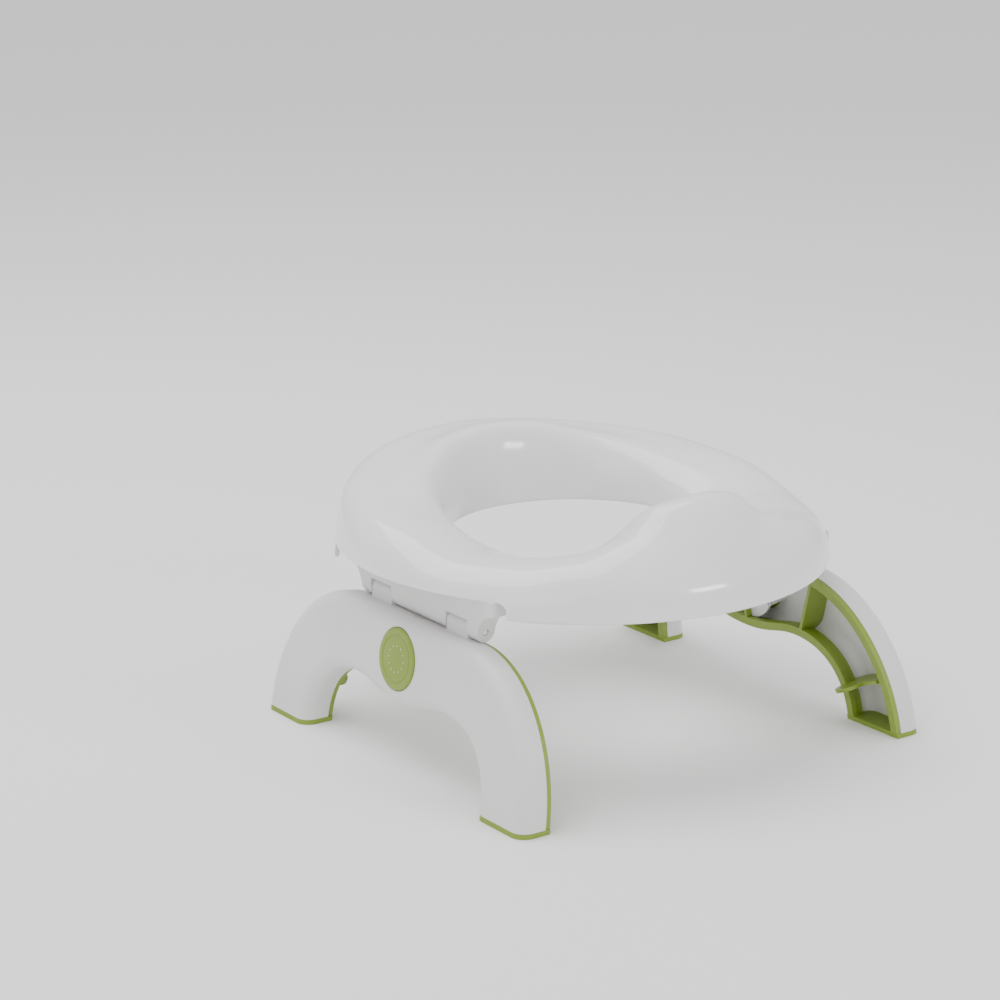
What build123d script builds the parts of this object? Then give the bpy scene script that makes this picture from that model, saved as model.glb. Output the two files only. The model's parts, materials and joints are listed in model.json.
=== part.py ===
"""Folding two-in-one potty seat: a contoured seat ring on two leg units that hinge under its sides.

+Z is up, the floor is z = 0 and the splash guard points to -Y.  The origin is on the floor under
the middle of the seat ring.  All sizes are in millimetres.  Each leg unit is drawn once, in a flat
frame of its own (along the hinge, up the leg, outward), and is stood on its hinge line and mirrored.
"""
from build123d import *
from math import atan2, cos, degrees, pi, radians, sin, sqrt
import os

# ------------------------------------------------------------------ seat ring
SEAT_HALF_X = 151.0           # half width of the skirt's bottom edge, side to side
SEAT_HALF_Y = 158.0           # half length of the skirt's bottom edge, front to back
SKIRT_BOTTOM_Z = 110.0        # height of the skirt's bottom edge above the floor
SEAT_WALL = 3.0               # wall of the moulded ring
HOLE_RADIUS = 79.0            # the opening at the bottom of its inner wall
HOLE_CENTRE_Y = 7.0           # the opening sits a little behind the middle
HOLE_EDGE_Z = 118.0           # bottom of the inner wall
SHOULDER_INSET = 9.0          # how far the outer shoulder stands in from the skirt

# The rim, by angle from the front: how far its lip stands out from the opening, the lip's height,
# the height of the brim behind it, and the height of the outer shoulder.
RIM_KEYS = (
    (0.0, 52.0, 171.0, 162.0, 137.0),
    (12.0, 49.0, 167.0, 158.0, 137.0),
    (24.0, 36.0, 147.0, 151.0, 138.0),
    (36.0, 18.0, 130.0, 140.0, 136.0),
    (50.0, 12.0, 128.0, 136.0, 131.0),
    (65.0, 12.0, 130.0, 136.0, 131.0),
    (90.0, 12.0, 139.0, 146.0, 140.0),
    (120.0, 12.0, 151.0, 153.0, 149.0),
    (145.0, 12.0, 160.0, 159.0, 154.0),
    (160.0, 12.0, 166.0, 163.0, 157.0),
    (180.0, 13.0, 168.0, 165.0, 159.0),
)
SECTION_STEP = 7.5            # degrees between the sections that the ring is lofted through

# ------------------------------------------------------------------ seat base
BASE_Z = 120.0                # underside of the plate that closes the ring
BASE_THICKNESS = 2.5
BASE_GAP = 3.6                # clearance between the plate's edges and the ring's sloping walls
BOSS_RADIUS = 4.5
BOSS_ANGLES = (35.0, 72.0, 108.0, 145.0, 215.0, 270.0, 325.0)
BOSS_OFFSET = 28.0            # from the opening's edge to the screw bosses
SCREW_RADIUS = 1.5
SCREW_HEAD_RADIUS = 3.4
SCREW_HEAD_HEIGHT = 1.8
SCREW_LENGTH = 10.0

# ------------------------------------------------------------------ hinges
HINGE_X = 121.0               # hinge lines, each side of the middle
HINGE_Z = 97.5
LEG_CENTRE_Y = -9.5           # the leg units stand a little in front of the ring's middle
HINGE_HALF_LENGTH = 62.0
HOUSING_RADIUS = 6.2          # round nose of the hinge housing
HOUSING_FLARE = 15.5          # how far each end of the housing spreads along the seat as it rises
HOUSING_FLARE_Z = 111.0       # underside of the flare's tip
KNUCKLE_RADIUS = 5.5
KNUCKLE_START = 30.0          # each leg has two knuckles, this far from its centre line
KNUCKLE_END = 52.0
KNUCKLE_GAP = 0.4             # between a knuckle's end and the housing
PIN_RADIUS = 2.0
PIN_CLEARANCE = 0.06          # running clearance of the leg on its pin, on the radius
SKIRT_NOTCH_HALF = 84.0       # the skirt is cut up to the base over each hinge
SKIRT_NOTCH_FILLET = 6.0
FLANGE_THICKNESS = 3.0
FLANGE_REACH = 14.0

# ------------------------------------------------------------------ leg units
FOOT_RIM_X = 135.5            # the legs splay: where the rim plane meets the floor
LEG_DEPTH = 17.0              # from the rim plane to the outer skin
LEG_WALL = 2.5
LEG_EDGE_RADIUS = 9.0         # outer edge of the skin
LEG_TOP_GAP = 0.4             # between the housing's nose and the leg's top edge
SHOULDER_U = 60.0             # where the straight top edge turns into the outer curve
FOOT_OUTER = 141.5            # outer corner of each foot, from the leg's centre line
FOOT_INNER = 94.5             # inner corner of each foot
ARCH_APEX_U = 41.0
FOOT_PAD_HEIGHT = 3.2

# ------------------------------------------------------------------ green frame inside each leg
RIM_INSET = 0.6               # the white edge left showing round the frame
RIM_WIDTH = 5.5
RIM_THICKNESS = 3.4
FRAME_GAP = 0.3               # between the frame and the shell's inside
LIP_DEPTH = 6.0
LIP_WALL = 1.5
RIB_THICKNESS = 2.2
FIN_WIDTH = 18.0
FIN_REACH = 13.0
UPPER_RIB = ((72.0, 90.0), (50.0, 38.0))       # ends of the upper rib: along the leg, height
LOWER_RIB = ((FOOT_INNER + 31.0, 34.0), (FOOT_INNER - 12.0, 19.0))      # ends of the lower rib
HUB_RIB_HEIGHT = 14.0

# ------------------------------------------------------------------ release button and lock
BUTTON_RADIUS = 19.0
BUTTON_TO_HINGE = 12.5        # from the hinge line down to the button's edge
BUTTON_TO_HUB = 8.5           # from the button's edge down to the hub's lower edge
ARCH_RISE = 6.0               # the arches' tops above the hub's lower edge
BUTTON_Z = HINGE_Z - BUTTON_TO_HINGE - BUTTON_RADIUS
HUB_BOTTOM_Z = BUTTON_Z - BUTTON_RADIUS - BUTTON_TO_HUB
ARCH_APEX_Z = HUB_BOTTOM_Z + ARCH_RISE
BUTTON_GAP = 0.4
BUTTON_PROUD = 1.2
BUTTON_TRAVEL = 3.0
BUTTON_FLANGE = 1.5           # the flange's width and thickness
BUTTON_WALL = 2.0
STEM_RADIUS = 3.5
SLEEVE_WALL = 2.0
SLEEVE_GAP = 0.3
GUIDE_FLOOR = 1.0             # underside of the button guide above the rim plane
GUIDE_THICKNESS = 2.0
POST_RADIUS = 1.8
POST_GAP = 0.3                # between the posts and the button's flange
POST_CIRCLE = BUTTON_RADIUS + BUTTON_FLANGE + POST_GAP + POST_RADIUS
GUIDE_RADIUS = POST_CIRCLE - 0.4
POST_ANGLES = (50.0, 130.0, 200.0, 340.0)
GUIDE_SCREW_HEAD = 1.2
GUIDE_SCREW_HEAD_RADIUS = 2.2
BOLT_WIDTH = 12.0
BOLT_THICKNESS = 2.5
BOLT_NOSE_WIDTH = 8.0
BOLT_TRAVEL = 2.5
SPRING_WIRE = 0.45
SPRING_PITCH = 2.2

RIGHT, LEFT = "right", "left"
LEG_TILT = degrees(atan2(FOOT_RIM_X - HINGE_X, HINGE_Z))
LEG_TOP = HOUSING_RADIUS + LEG_TOP_GAP                # top edge of the leg below the hinge line
LEG_LENGTH = sqrt((FOOT_RIM_X - HINGE_X) ** 2 + HINGE_Z ** 2)
LEG_PLANE = Plane(
    origin=(HINGE_X, LEG_CENTRE_Y, HINGE_Z),
    x_dir=(0, 1, 0),
    z_dir=(cos(radians(LEG_TILT)), 0, sin(radians(LEG_TILT))),
)


# ------------------------------------------------------------------ helpers
def up_leg(height):
    """Place along a leg, negative below the hinge line, of a height above the floor."""
    return (height - HINGE_Z) / cos(radians(LEG_TILT))


def rim_value(angle, column):
    """One column of RIM_KEYS at an angle from the front, on a smooth curve through the keys."""
    angle = abs((angle + 180.0) % 360.0 - 180.0)
    last = len(RIM_KEYS) - 1
    index = max(i for i in range(last) if RIM_KEYS[i][0] <= angle)

    def key(i):
        if i < 0:
            return -RIM_KEYS[-i][0], RIM_KEYS[-i][column]
        if i > last:
            return 360.0 - RIM_KEYS[2 * last - i][0], RIM_KEYS[2 * last - i][column]
        return RIM_KEYS[i][0], RIM_KEYS[i][column]

    def slope(i):
        (before, low), (here, mid), (after, high) = key(i - 1), key(i), key(i + 1)
        rise_in, rise_out = (mid - low) / (here - before), (high - mid) / (after - here)
        return 0.0 if rise_in * rise_out <= 0 else 2 * rise_in * rise_out / (rise_in + rise_out)

    (start, low), (end, high) = key(index), key(index + 1)
    span = end - start
    t = (angle - start) / span
    return (
        low * (1 + 2 * t) * (1 - t) ** 2
        + slope(index) * span * t * (1 - t) ** 2
        + high * t * t * (3 - 2 * t)
        + slope(index + 1) * span * t * t * (t - 1)
    )


def skirt_radius(direction, inset=0.0):
    """Distance from the opening's centre to the skirt's bottom edge, less an inset."""
    half_x, half_y = SEAT_HALF_X - inset, SEAT_HALF_Y - inset
    c, s = cos(radians(direction)), sin(radians(direction))
    a = (c / half_x) ** 2 + (s / half_y) ** 2
    b = 2 * HOLE_CENTRE_Y * s / half_y ** 2
    k = (HOLE_CENTRE_Y / half_y) ** 2 - 1
    return (-b + sqrt(b * b - 4 * a * k)) / (2 * a)


def rim_profile(direction):
    """Points of the ring's outer surface in one section, as distance from the centre and height."""
    angle = direction + 90.0
    reach, lip_z, brim_z, shoulder_z = (rim_value(angle, column) for column in range(1, 5))
    skirt = skirt_radius(direction)
    lip = HOLE_RADIUS + reach
    shoulder = skirt - SHOULDER_INSET
    rise = lip_z - HOLE_EDGE_Z
    return (
        (HOLE_RADIUS, HOLE_EDGE_Z),
        (HOLE_RADIUS + 0.12 * reach, HOLE_EDGE_Z + 0.38 * rise),
        (HOLE_RADIUS + 0.45 * reach, HOLE_EDGE_Z + 0.78 * rise),
        (lip, lip_z),
        (lip + 0.4 * (shoulder - lip), brim_z),
        (shoulder, shoulder_z),
        (skirt - 2.0, shoulder_z - 0.45 * (shoulder_z - SKIRT_BOTTOM_Z)),
        (skirt, SKIRT_BOTTOM_Z),
    )


def inset_profile(points, distance):
    """The same section moved inwards by a wall's thickness and left open at the bottom."""
    moved = []
    for i, (r, z) in enumerate(points):
        r0, z0 = points[max(i - 1, 0)]
        r1, z1 = points[min(i + 1, len(points) - 1)]
        along_r, along_z = r1 - r0, z1 - z0
        size = sqrt(along_r ** 2 + along_z ** 2)
        moved.append((r + distance * along_z / size, z - distance * along_r / size))
    moved[0] = (points[0][0] + distance, points[0][1] - distance)
    moved[-1] = (points[-1][0] - distance, points[-1][1] - distance)
    return moved


def ring_solid(inset):
    """The ring as a filled solid: half of it lofted through its sections, cut at x = 0, mirrored."""
    sections = []
    steps = int(180 / SECTION_STEP)
    for i in range(-1, steps + 2):
        direction = -90.0 + i * SECTION_STEP
        points = rim_profile(direction)
        if inset:
            points = inset_profile(points, inset)
        c, s = cos(radians(direction)), sin(radians(direction))
        track = [(r * c, HOLE_CENTRE_Y + r * s, z) for r, z in points]
        sections.append(Wire([Edge.make_spline(track), Edge.make_line(track[-1], track[0])]))
    half = Solid.make_loft(sections)
    reach = 2 * max(SEAT_HALF_X, SEAT_HALF_Y)
    keep = Location((reach / 2, 0, 0)) * Box(reach, 2 * reach, 4 * reach)
    half = half & keep
    return half + mirror(half, about=Plane.YZ)


def box_between(low, high):
    """A box from its lowest to its highest corner."""
    size = [b - a for a, b in zip(low, high)]
    middle = [(a + b) / 2 for a, b in zip(low, high)]
    return Location(middle) * Box(*size)


def rod(radius, start, length, axis=Axis.Z):
    """A cylinder from a start point along an axis."""
    return Solid.make_cylinder(radius, length, Plane(origin=start, z_dir=axis.direction))


def screw(length, head_radius=SCREW_HEAD_RADIUS, shank=SCREW_RADIUS, head=SCREW_HEAD_HEIGHT):
    """A pan-head screw with a cross slot, its head's seat at z = 0 and its shank up +Z."""
    body = rod(shank, (0, 0, 0), length) + rod(head_radius, (0, 0, -head), head)
    body = fillet(body.edges().group_by(Axis.Z)[0], head * 0.45)
    for turn in (0, 90):
        slot = Location((0, 0, -head)) * Rotation(0, 0, turn) * Box(head_radius * 1.1, 0.7, head)
        body -= slot
    return body


def coil(radius, height, wire=SPRING_WIRE, pitch=SPRING_PITCH):
    """A compression spring along +Z from z = 0."""
    path = Helix(pitch=pitch, height=height - 2 * wire, radius=radius)
    section = Plane(origin=path @ 0, z_dir=path % 0) * Circle(wire)
    return Location((0, 0, wire)) * sweep(section, path=path, is_frenet=True)


def write(name, shape):
    """Write one node's solids to parts/NAME.step."""
    solids = shape.solids()
    export_step(solids[0] if len(solids) == 1 else Compound(children=list(solids)), f"parts/{name}.step")


def place(shape, side):
    """Stand a piece drawn in a leg's own frame on its hinge line, on one side of the seat."""
    placed = LEG_PLANE.location * shape
    return placed if side == RIGHT else mirror(placed, about=Plane.YZ)


# ------------------------------------------------------------------ seat
def boss_places():
    """Centres of the screw bosses under the ring."""
    for angle in BOSS_ANGLES:
        r = HOLE_RADIUS + BOSS_OFFSET
        yield r * cos(radians(angle)), HOLE_CENTRE_Y + r * sin(radians(angle))


def seat_shell():
    """The glossy contoured ring with its splash guard, skirt, hinge notches and screw bosses."""
    outside = ring_solid(0.0)
    shell = outside - ring_solid(SEAT_WALL)
    for x, y in boss_places():
        boss = rod(BOSS_RADIUS, (x, y, BASE_Z + BASE_THICKNESS), 30.0)
        boss -= rod(SCREW_RADIUS, (x, y, BASE_Z), SCREW_LENGTH)
        shell += boss & outside
        shell -= rod(SCREW_RADIUS, (x, y, BASE_Z), SCREW_LENGTH)
    for sign in (-1, 1):
        notch = box_between(
            (HINGE_X - HOUSING_RADIUS, LEG_CENTRE_Y - SKIRT_NOTCH_HALF, SKIRT_BOTTOM_Z - 10),
            (SEAT_HALF_X + 10, LEG_CENTRE_Y + SKIRT_NOTCH_HALF, BASE_Z),
        )
        notch = fillet(notch.edges().filter_by(Axis.X).group_by(Axis.Z)[-1], SKIRT_NOTCH_FILLET)
        shell -= notch if sign > 0 else mirror(notch, about=Plane.YZ)
    return max(shell.solids(), key=lambda solid: solid.volume)


def seat_base():
    """The plate that closes the ring from below, open under the seat's opening."""
    inset = SEAT_WALL + BASE_GAP
    plate = extrude(Ellipse(SEAT_HALF_X - inset, SEAT_HALF_Y - inset), BASE_THICKNESS)
    plate = Location((0, 0, BASE_Z)) * plate
    inner = HOLE_RADIUS + SEAT_WALL + BASE_GAP
    plate -= rod(inner, (0, HOLE_CENTRE_Y, BASE_Z - 1), BASE_THICKNESS + 2)
    for x, y in boss_places():
        plate -= rod(SCREW_RADIUS + 0.2, (x, y, BASE_Z - 1), BASE_THICKNESS + 2)
    for x, y in flange_screw_places():
        for sign in (-1, 1):
            plate -= rod(SCREW_RADIUS, (sign * x, y, BASE_Z - 1), BASE_THICKNESS + 2)
    return plate


def seat_screws():
    """The screws that hold the base to the ring, seen from below."""
    return Compound(children=[Location((x, y, BASE_Z)) * screw(SCREW_LENGTH) for x, y in boss_places()])


# ------------------------------------------------------------------ hinges
def flange_screw_places():
    """Centres of the screws through a hinge housing's flange, on the right side."""
    for along in (-0.78, 0.0, 0.78):
        yield HINGE_X - HOUSING_RADIUS - FLANGE_REACH * 0.55, LEG_CENTRE_Y + along * HINGE_HALF_LENGTH


def hinge_housing(side):
    """The white block under the seat's side that carries the pin, with ends that flare up to the skirt."""
    low_y, high_y = LEG_CENTRE_Y - HINGE_HALF_LENGTH, LEG_CENTRE_Y + HINGE_HALF_LENGTH
    half_length = HINGE_HALF_LENGTH + HOUSING_FLARE
    start_y = LEG_CENTRE_Y - half_length
    block = box_between(
        (HINGE_X - HOUSING_RADIUS, start_y, HINGE_Z),
        (HINGE_X + HOUSING_RADIUS, LEG_CENTRE_Y + half_length, BASE_Z),
    )
    block += rod(HOUSING_RADIUS, (HINGE_X, start_y, HINGE_Z), 2 * half_length, Axis.Y)
    nose_z = HINGE_Z - HOUSING_RADIUS
    for sign in (-1, 1):
        tip_y = LEG_CENTRE_Y + sign * half_length
        hollow = Plane(origin=(HINGE_X, tip_y, nose_z), x_dir=(0, 1, 0), z_dir=(1, 0, 0)) \
            * Ellipse(HOUSING_FLARE, HOUSING_FLARE_Z - nose_z)
        block -= extrude(hollow, 2 * HOUSING_RADIUS, both=True)
    for sign in (-1, 1):
        start = LEG_CENTRE_Y + sign * (KNUCKLE_START - KNUCKLE_GAP)
        end = LEG_CENTRE_Y + sign * (KNUCKLE_END + KNUCKLE_GAP)
        block -= box_between(
            (HINGE_X - 2 * HOUSING_RADIUS, min(start, end), HINGE_Z - 2 * HOUSING_RADIUS),
            (HINGE_X + 2 * HOUSING_RADIUS, max(start, end), HINGE_Z + HOUSING_RADIUS),
        )
    block += box_between(
        (HINGE_X - HOUSING_RADIUS - FLANGE_REACH, low_y, BASE_Z - FLANGE_THICKNESS),
        (HINGE_X - HOUSING_RADIUS, high_y, BASE_Z),
    )
    block -= rod(PIN_RADIUS, (HINGE_X, start_y, HINGE_Z), 2 * half_length, Axis.Y)
    for x, y in flange_screw_places():
        block -= rod(SCREW_RADIUS + 0.2, (x, y, BASE_Z - 2 * FLANGE_THICKNESS), 3 * FLANGE_THICKNESS)
    return block if side == RIGHT else mirror(block, about=Plane.YZ)


def hinge_pin(side):
    """The steel pin of one hinge, held by the housing at its ends and middle."""
    pin = rod(PIN_RADIUS, (HINGE_X, LEG_CENTRE_Y - HINGE_HALF_LENGTH, HINGE_Z), 2 * HINGE_HALF_LENGTH, Axis.Y)
    pin = chamfer(pin.edges().filter_by(GeomType.CIRCLE), 0.4)
    return pin if side == RIGHT else mirror(pin, about=Plane.YZ)


def housing_screws():
    """The screws through both housings' flanges into the base."""
    seat_z = BASE_Z - FLANGE_THICKNESS
    length = FLANGE_THICKNESS + BASE_THICKNESS
    return Compound(children=[
        Location((sign * x, y, seat_z)) * screw(length)
        for x, y in flange_screw_places() for sign in (-1, 1)
    ])


# ------------------------------------------------------------------ leg units, in their own frame
def leg_outline(inset=0.0):
    """The face of a leg unit: a straight top, two feet, and an arch on each side of the hub."""
    floor = -LEG_LENGTH
    below = floor - 2 * LEG_DEPTH
    inner, outer, top = FOOT_INNER + inset, FOOT_OUTER - inset, -LEG_TOP - inset
    arch = [(inner, floor), (ARCH_APEX_U, up_leg(ARCH_APEX_Z) + inset), (0, up_leg(HUB_BOTTOM_Z) + inset)]
    edges = [
        Edge.make_line((0, top), (SHOULDER_U, top)),
        Edge.make_ellipse(outer - SHOULDER_U, top - floor, Plane((SHOULDER_U, floor, 0)), 0, 90),
        Edge.make_line((outer, floor), (outer, below + inset)),
        Edge.make_line((outer, below + inset), (inner, below + inset)),
        Edge.make_line((inner, below + inset), (inner, floor)),
        Edge.make_spline(arch, tangents=[(0, 1), (-1, 0)]),
    ]
    return Face(Wire(edges + mirror(edges, about=Plane.YZ).edges()))


def leg_form(inset, low, high, radius):
    """A leg unit's outline as a solid between two depths, rounded on its outer edge."""
    form = Location((0, 0, low)) * extrude(leg_outline(inset), high - low, dir=(0, 0, 1))
    return fillet(form.edges().group_by(Axis.Z)[-1], radius) if radius else form


def above(shape, height, side=RIGHT):
    """What lies above a height over the floor, of a piece that stands on the right side."""
    size = 4 * FOOT_OUTER
    return shape & (Location((0, 0, height + size / 2)) * Box(size, size, size))


def between(shape, low, high):
    """What lies between two heights over the floor."""
    size = 4 * FOOT_OUTER
    return shape & (Location((0, 0, (low + high) / 2)) * Box(size, size, high - low))


def to_side(placed, side):
    """The right-hand piece itself, or its mirror for the left."""
    return placed if side == RIGHT else mirror(placed, about=Plane.YZ)


BUTTON_Y = up_leg(BUTTON_Z)
SKIN_INSIDE = LEG_DEPTH - LEG_WALL


def leg_shell():
    """The white channel of a leg unit, with its knuckles and the button's hole."""
    shell = leg_form(0.0, 0.0, LEG_DEPTH, LEG_EDGE_RADIUS)
    shell -= leg_form(LEG_WALL, -1.0, SKIN_INSIDE, LEG_EDGE_RADIUS - LEG_WALL)
    shell -= rod(BUTTON_RADIUS + BUTTON_GAP, (0, BUTTON_Y, SKIN_INSIDE - 1), LEG_WALL + 2)
    flange_low = button_levels()[0] - BUTTON_FLANGE - BUTTON_TRAVEL - BUTTON_GAP
    shell -= rod(BUTTON_RADIUS + BUTTON_FLANGE + BUTTON_GAP, (0, BUTTON_Y, flange_low), SKIN_INSIDE - flange_low)
    neck_depth = KNUCKLE_RADIUS - 0.5
    for sign in (-1, 1):
        low, high = sorted((sign * KNUCKLE_START, sign * KNUCKLE_END))
        shell += rod(KNUCKLE_RADIUS, (low, 0, 0), high - low, Axis.X)
        shell += box_between((low, -LEG_TOP - LEG_WALL, 0), (high, 0, neck_depth))
        shell -= rod(PIN_RADIUS + PIN_CLEARANCE, (low - 1, 0, 0), high - low + 2, Axis.X)
    slot = BOLT_NOSE_WIDTH / 2 + FRAME_GAP
    bolt_low, bolt_high = bolt_depths()
    shell -= box_between(
        (-slot, -LEG_TOP - LEG_WALL - 1, bolt_low - FRAME_GAP), (slot, 0, bolt_high + FRAME_GAP)
    )
    return above(LEG_PLANE.location * shell, FOOT_PAD_HEIGHT)


def foot_pad(front):
    """The green pad that closes one foot of a leg unit."""
    pads = between(LEG_PLANE.location * leg_form(0.0, -RIM_THICKNESS, LEG_DEPTH, LEG_EDGE_RADIUS),
                   0.0, FOOT_PAD_HEIGHT)
    picked = pads.solids().sort_by(Axis.Y)
    return picked[0] if front else picked[-1]


def rib_plate(ends, low, high, thickness=RIB_THICKNESS):
    """An upright plate in a leg between two places, each given along the leg and as a height."""
    (u0, z0), (u1, z1) = ends
    start, end = (u0, up_leg(z0)), (u1, up_leg(z1))
    length = sqrt((end[0] - start[0]) ** 2 + (end[1] - start[1]) ** 2)
    turn = degrees(atan2(end[1] - start[1], end[0] - start[0]))
    middle = ((start[0] + end[0]) / 2, (start[1] + end[1]) / 2, (low + high) / 2)
    return Location(middle) * Rotation(0, 0, turn) * Box(length, thickness, high - low)


def leg_frame():
    """The green frame: a flat rim, a lip inside the shell, cross ribs and the two bowl fins."""
    rim = leg_form(RIM_INSET, -RIM_THICKNESS, 0.0, 0.0)
    rim -= leg_form(RIM_INSET + RIM_WIDTH, -RIM_THICKNESS - 1, 1.0, 0.0)
    inside = LEG_WALL + FRAME_GAP
    lip = leg_form(inside, -RIM_THICKNESS / 2, LIP_DEPTH, 0.0)
    lip -= leg_form(inside + LIP_WALL, -RIM_THICKNESS, LIP_DEPTH + 1, 0.0)
    top = SKIN_INSIDE - FRAME_GAP
    room = leg_form(inside, -RIM_THICKNESS, top, LEG_EDGE_RADIUS - inside)
    ribs = []
    for sign in (-1, 1):
        for ends in (UPPER_RIB, LOWER_RIB):
            ribs.append(rib_plate([(sign * u, z) for u, z in ends], -RIM_THICKNESS, top + 1) & room)
        ribs.append(bowl_fin(sign))
    hub_low = up_leg(HUB_BOTTOM_Z) + inside
    hub_rib = box_between((-RIB_THICKNESS / 2, hub_low, -RIM_THICKNESS),
                          (RIB_THICKNESS / 2, hub_low + HUB_RIB_HEIGHT, GUIDE_FLOOR - FRAME_GAP))
    frame = rim + lip
    for rib in ribs:
        frame += rib
    frame += hub_rib
    frame -= rod(POST_CIRCLE + POST_RADIUS + FRAME_GAP, (0, BUTTON_Y, GUIDE_FLOOR - FRAME_GAP), LIP_DEPTH)
    head_low = GUIDE_FLOOR - GUIDE_SCREW_HEAD - FRAME_GAP
    for angle in POST_ANGLES:
        x, y = POST_CIRCLE * cos(radians(angle)), POST_CIRCLE * sin(radians(angle))
        frame -= rod(GUIDE_SCREW_HEAD_RADIUS + FRAME_GAP, (x, BUTTON_Y + y, head_low), GUIDE_FLOOR - head_low)
    slot = BOLT_WIDTH / 2 + 2 * FRAME_GAP
    frame -= box_between((-slot, -LEG_TOP - LEG_WALL - LIP_WALL - 2, GUIDE_FLOOR),
                         (slot, 0, LIP_DEPTH + 1))
    return above(LEG_PLANE.location * frame, FOOT_PAD_HEIGHT)


def bowl_fin(sign):
    """The tongue on the lower rib that bears against the inside of a toilet bowl."""
    (u0, z0), (u1, z1) = [(sign * u, z) for u, z in LOWER_RIB]
    turn = degrees(atan2(up_leg(z1) - up_leg(z0), u1 - u0))
    straight = FIN_REACH - FIN_WIDTH / 2
    outline = Rectangle(FIN_WIDTH, straight + RIM_THICKNESS + 4.0)
    outline = Location((0, -(straight - RIM_THICKNESS - 4.0) / 2)) * outline
    outline += Location((0, -straight)) * Circle(FIN_WIDTH / 2)
    fin = extrude(outline, RIB_THICKNESS / 2, both=True)
    middle = ((u0 + u1) / 2, (up_leg(z0) + up_leg(z1)) / 2, -RIM_THICKNESS)
    return Location(middle) * Rotation(0, 0, turn) * Rotation(90, 0, 0) * fin


# ------------------------------------------------------------------ button and lock
def button_levels():
    """Depths of the button: its flange's top and its face."""
    return SKIN_INSIDE - 0.1, LEG_DEPTH + BUTTON_PROUD


def release_button():
    """The round button: a domed cap with a flange behind the skin and a guide stem."""
    flange_top, face = button_levels()
    flange_low = flange_top - BUTTON_FLANGE
    cap = rod(BUTTON_RADIUS, (0, 0, flange_low), face - flange_low)
    cap = fillet(cap.edges().group_by(Axis.Z)[-1], 1.6)
    cap -= rod(BUTTON_RADIUS - BUTTON_WALL, (0, 0, flange_low - 1), face - BUTTON_WALL - flange_low + 1)
    cap += rod(BUTTON_RADIUS + BUTTON_FLANGE, (0, 0, flange_low), BUTTON_FLANGE) \
        - rod(BUTTON_RADIUS - BUTTON_WALL, (0, 0, flange_low - 1), BUTTON_FLANGE + 2)
    stem_low = GUIDE_FLOOR + BUTTON_TRAVEL + 0.2
    cap += rod(STEM_RADIUS, (0, 0, stem_low), face - BUTTON_WALL / 2 - stem_low)
    return Location((0, BUTTON_Y, 0)) * cap


def button_guide():
    """The white plate behind the button, with the stem's sleeve and posts to the skin."""
    plate = rod(GUIDE_RADIUS, (0, 0, GUIDE_FLOOR), GUIDE_THICKNESS)
    sleeve_in = STEM_RADIUS + SLEEVE_GAP
    sleeve_top = GUIDE_FLOOR + GUIDE_THICKNESS + 4.0
    plate += rod(sleeve_in + SLEEVE_WALL, (0, 0, GUIDE_FLOOR), sleeve_top - GUIDE_FLOOR)
    plate -= rod(sleeve_in, (0, 0, GUIDE_FLOOR - 1), sleeve_top + 2)
    for angle in POST_ANGLES:
        x, y = POST_CIRCLE * cos(radians(angle)), POST_CIRCLE * sin(radians(angle))
        plate += rod(POST_RADIUS, (x, y, GUIDE_FLOOR), SKIN_INSIDE - GUIDE_FLOOR)
        plate -= rod(SCREW_RADIUS * 0.7, (x, y, GUIDE_FLOOR - 1), 9.0)
    return Location((0, BUTTON_Y, 0)) * plate


def leg_screws():
    """The small screws that hold the button guide to the shell's posts."""
    return Compound(children=[
        Location((POST_CIRCLE * cos(radians(a)), BUTTON_Y + POST_CIRCLE * sin(radians(a)), GUIDE_FLOOR))
        * screw(7.0, head_radius=GUIDE_SCREW_HEAD_RADIUS, shank=SCREW_RADIUS * 0.65, head=GUIDE_SCREW_HEAD)
        for a in POST_ANGLES
    ])


def button_spring():
    """The button's return spring, round its sleeve."""
    low = GUIDE_FLOOR + GUIDE_THICKNESS
    high = button_levels()[1] - BUTTON_WALL
    radius = STEM_RADIUS + SLEEVE_GAP + SLEEVE_WALL + 1.2
    return Location((0, BUTTON_Y, low + 0.05)) * coil(radius, high - low - 0.1)


def bolt_depths():
    """The depths that the lock bolt's bar lies between."""
    low = GUIDE_FLOOR + GUIDE_THICKNESS + FRAME_GAP
    return low, low + BOLT_THICKNESS


def lock_bolt():
    """The sliding bolt between the button and the hinge: a bar with a narrower nose."""
    low, high = bolt_depths()
    shoulder = -LEG_TOP - LEG_WALL - LIP_WALL - 2 * FRAME_GAP
    tail = BUTTON_Y + STEM_RADIUS + SLEEVE_GAP + SLEEVE_WALL + 2.6 + BOLT_TRAVEL
    bar = box_between((-BOLT_WIDTH / 2, tail, low), (BOLT_WIDTH / 2, shoulder, high))
    nose = box_between((-BOLT_NOSE_WIDTH / 2, shoulder, low), (BOLT_NOSE_WIDTH / 2, -LEG_TOP - 0.1, high))
    ramp = box_between((-BOLT_WIDTH / 2, tail, high), (BOLT_WIDTH / 2, tail + 2.5, high + 1.6))
    return bar + nose + ramp


PIECES = {
    "leg_frame": lambda side: to_side(leg_frame(), side),
    "leg_shell": lambda side: to_side(leg_shell(), side),
    "front_foot_pad": lambda side: to_side(foot_pad(True), side),
    "rear_foot_pad": lambda side: to_side(foot_pad(False), side),
    "release_button": lambda side: place(release_button(), side),
    "button_guide": lambda side: place(button_guide(), side),
    "button_spring": lambda side: place(button_spring(), side),
    "guide_screws": lambda side: place(leg_screws(), side),
    "lock_bolt": lambda side: place(lock_bolt(), side),
    "hinge_housing": hinge_housing,
    "hinge_pin": hinge_pin,
}


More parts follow.
